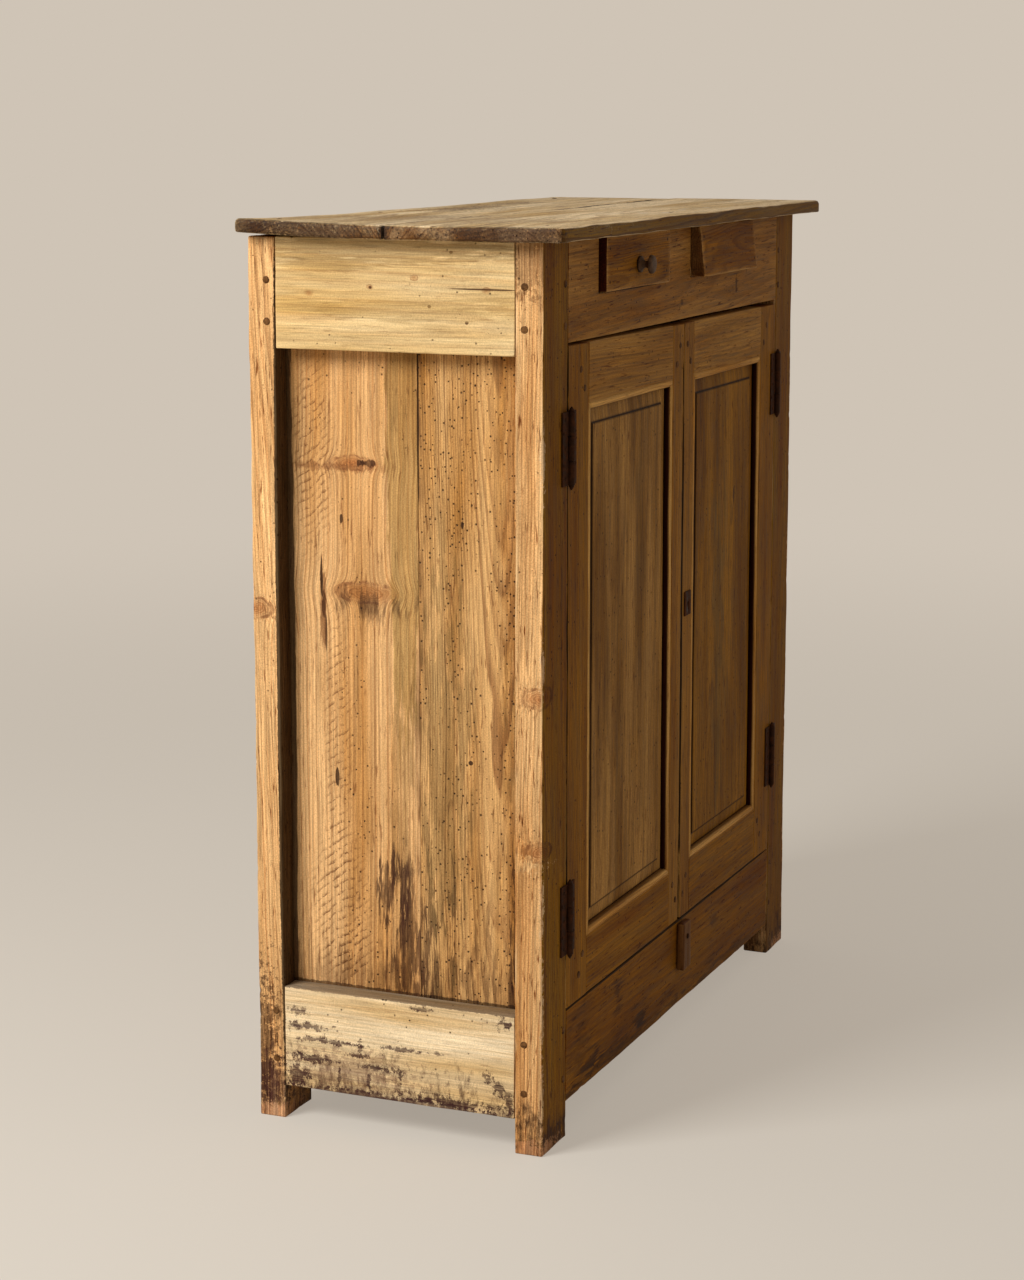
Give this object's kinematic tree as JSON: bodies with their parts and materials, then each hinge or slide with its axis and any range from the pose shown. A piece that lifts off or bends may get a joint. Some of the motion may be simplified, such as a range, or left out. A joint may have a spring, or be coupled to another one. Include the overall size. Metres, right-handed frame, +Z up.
{
  "type": "jelly cupboard",
  "caption": "Free-standing pine cupboard with pegged frame and side panels, hinged panelled doors, small drawers under an overhanging plank top, inner shelves and a turn button.",
  "frame": {"origin": "on the floor under the middle of the overall box", "axes": "+X to the right along the front, +Y from front to back, +Z up; the doors face -Y"},
  "size_m": [1.079, 0.454, 1.191],
  "materials": {
    "pine_posts": "aged pine, waxed, orange-brown",
    "pine_side_rails": "bare pale pine, stained at the foot",
    "pine_side_panels": "aged pine with worm holes and saw marks",
    "pine_front": "aged brown pine, waxed",
    "pine_top": "worn greyish pine with dark edges",
    "pine_inside": "raw old pine",
    "peg_wood": "dark end grain",
    "dark_wood": "dark turned wood",
    "iron": "rusted black iron"
  },
  "bodies": {
    "carcass": {"back_boards": "pine_inside", "back_bottom_rail": "pine_inside", "back_top_rail": "pine_inside", "cleats": "pine_inside", "drawer_runners": "pine_inside", "floor_boards": "pine_inside", "frame_pegs": "peg_wood", "frieze_board": "pine_front", "front_bottom_rail": "pine_front", "hinge_frame_leaves": "iron", "hinge_pins": "iron", "post_back_left": "pine_posts", "post_back_right": "pine_posts", "post_front_left": "pine_posts", "post_front_right": "pine_posts", "shelf_lower": "pine_inside", "shelf_upper": "pine_inside", "side_bottom_rail_left": "pine_side_rails", "side_bottom_rail_right": "pine_side_rails", "side_panel_back_left": "pine_side_panels", "side_panel_back_right": "pine_side_panels", "side_panel_front_left": "pine_side_panels", "side_panel_front_right": "pine_side_panels", "side_top_rail_left": "pine_side_rails", "side_top_rail_right": "pine_side_rails", "top_back_board": "pine_top", "top_front_board": "pine_top", "top_nails": "iron", "turn_button_nail": "iron"},
    "door_left": {"door_left_bottom_rail": "pine_front", "door_left_hinge_leaves": "iron", "door_left_hinge_stile": "pine_front", "door_left_meeting_stile": "pine_front", "door_left_mouldings": "pine_front", "door_left_panel": "pine_front", "door_left_pegs": "peg_wood", "door_left_top_rail": "pine_front"},
    "door_right": {"door_right_bottom_rail": "pine_front", "door_right_hinge_leaves": "iron", "door_right_hinge_stile": "pine_front", "door_right_meeting_stile": "pine_front", "door_right_mouldings": "pine_front", "door_right_panel": "pine_front", "door_right_pegs": "peg_wood", "door_right_top_rail": "pine_front", "escutcheon": "iron", "lock_case": "iron"},
    "drawer_left": {"drawer_knob": "dark_wood", "drawer_left_back": "pine_inside", "drawer_left_bottom": "pine_inside", "drawer_left_front": "pine_front", "drawer_left_sides": "pine_inside"},
    "drawer_right": {"drawer_right_back": "pine_inside", "drawer_right_bottom": "pine_inside", "drawer_right_front": "pine_front", "drawer_right_sides": "pine_inside"},
    "lock_bolt": {"lock_bolt": "iron"},
    "turn_button": {"turn_button": "dark_wood"}
  },
  "joints": [
    {"name": "door_left_swing", "type": "hinge", "parent": "carcass", "child": "door_left", "pos_m": [-0.43175, -0.1937, 0.6], "axis": [0, 0, -1], "range_deg": [0, 170]},
    {"name": "door_right_swing", "type": "hinge", "parent": "carcass", "child": "door_right", "pos_m": [0.43175, -0.1937, 0.6], "axis": [0, 0, 1], "range_deg": [0, 170]},
    {"name": "lock_bolt_throw", "type": "slide", "parent": "door_right", "child": "lock_bolt", "axis": [-1, 0, 0], "range_m": [0, 0.01]},
    {"name": "drawer_left_slide", "type": "slide", "parent": "carcass", "child": "drawer_left", "axis": [0, -1, 0], "range_m": [-0.008, 0.2]},
    {"name": "drawer_right_slide", "type": "slide", "parent": "carcass", "child": "drawer_right", "axis": [0, -1, 0], "range_m": [-0.019, 0.2]},
    {"name": "turn_button_turn", "type": "hinge", "parent": "carcass", "child": "turn_button", "pos_m": [0.015, -0.195, 0.148], "axis": [0, 1, 0], "range_deg": [0, 180]}
  ]
}
